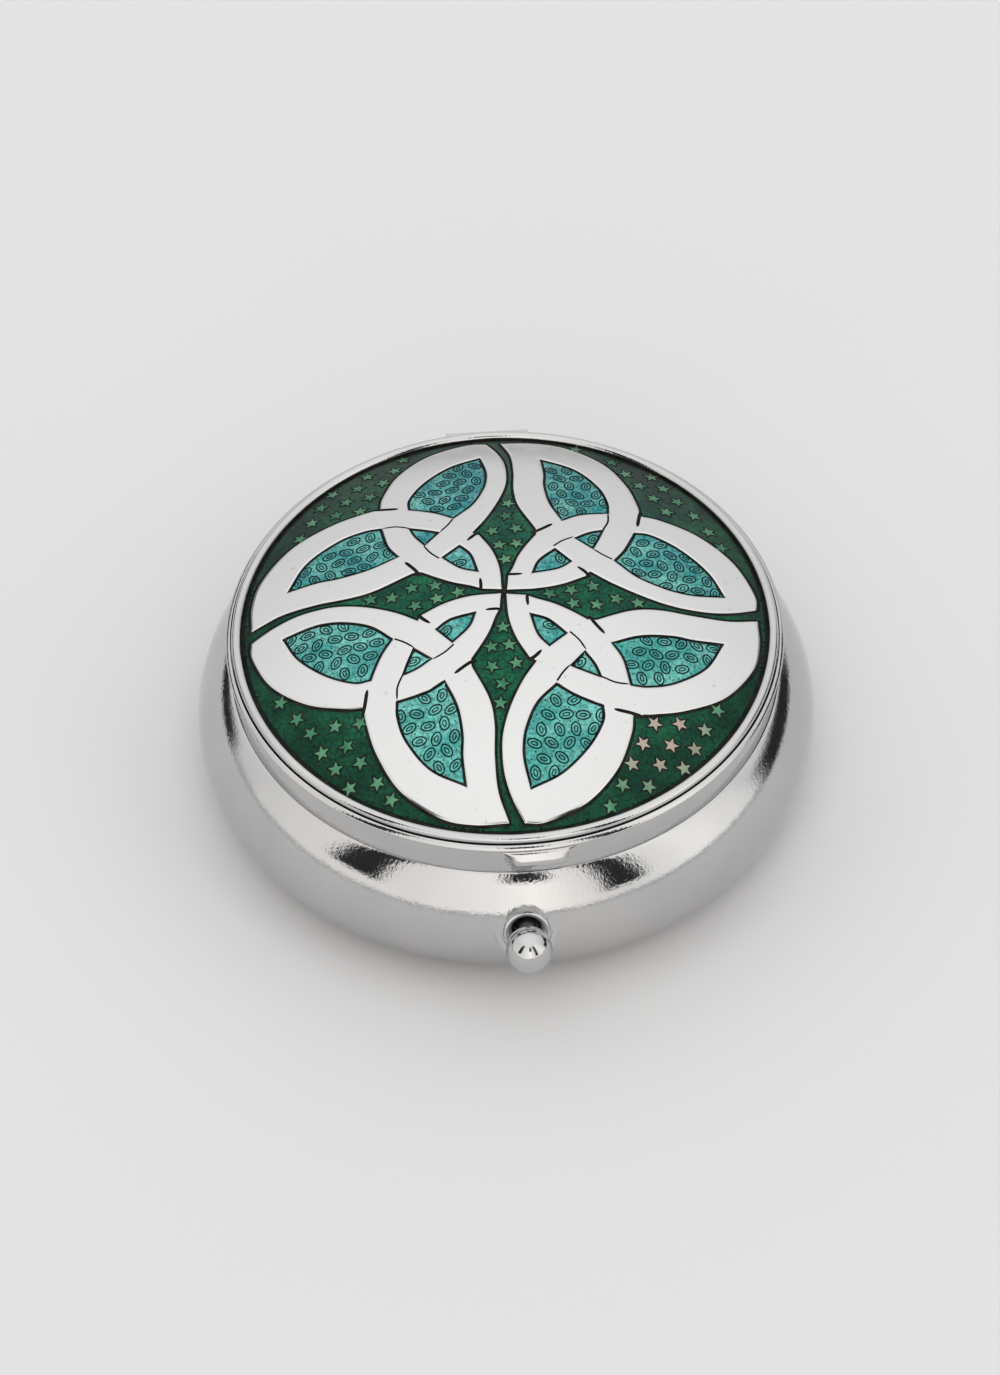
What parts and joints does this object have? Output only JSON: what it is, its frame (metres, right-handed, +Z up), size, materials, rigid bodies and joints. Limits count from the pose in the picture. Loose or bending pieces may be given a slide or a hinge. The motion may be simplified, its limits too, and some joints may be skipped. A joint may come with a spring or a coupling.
{
  "type": "pill box",
  "caption": "Round metal pill box with a bulging case, a ball push button, a hinged mirror lid with a domed enamel knotwork medallion, and a divided inner tray.",
  "frame": {"origin": "middle of the flat bottom, on the axis of the round case", "axes": "+Z up out of the lid, +Y towards the hinge, the push button at -Y, +X to the right"},
  "size_m": [0.05, 0.0542, 0.0194],
  "materials": {
    "chrome": "polished chrome plate on pressed brass",
    "spring_steel": "bright rolled steel",
    "silver_plate": "polished silver plate, struck",
    "enamel": "translucent green and turquoise vitreous enamel over a struck ground",
    "tray_plastic": "moulded, satin",
    "pad_foam": "matt foam",
    "mirror_glass": "silvered glass"
  },
  "bodies": {
    "base": {"base_shell": "chrome", "neck_ring": "chrome", "compartment_tray": "tray_plastic", "latch_leaf": "spring_steel", "latch_rivet_left": "spring_steel", "latch_rivet_right": "spring_steel", "button_ferrule": "chrome", "hinge_base_leaf": "spring_steel", "hinge_pin": "spring_steel", "hinge_spring": "spring_steel"},
    "button": {"button_ball": "chrome", "button_stem": "spring_steel", "stem_clip": "spring_steel"},
    "lid": {"lid_pan": "chrome", "thumb_tab": "chrome", "lid_catch": "spring_steel", "bezel_ring": "chrome", "medallion_plate": "silver_plate", "enamel_layer": "enamel", "mirror_pad": "pad_foam", "mirror": "mirror_glass", "mirror_bezel": "chrome", "hinge_lid_leaf": "spring_steel"}
  },
  "joints": [
    {"name": "lid_hinge", "type": "hinge", "parent": "base", "child": "lid", "pos_m": [0, 0.0223, 0.0124], "axis": [-1, 0, 0], "range_deg": [0, 100], "deforming": ["hinge_spring"]},
    {"name": "button_press", "type": "slide", "parent": "base", "child": "button", "axis": [0, 0.9135, -0.4067], "range_m": [0, 0.0006], "stiffness_N_per_m": 1500, "deforming": ["latch_leaf"]}
  ]
}
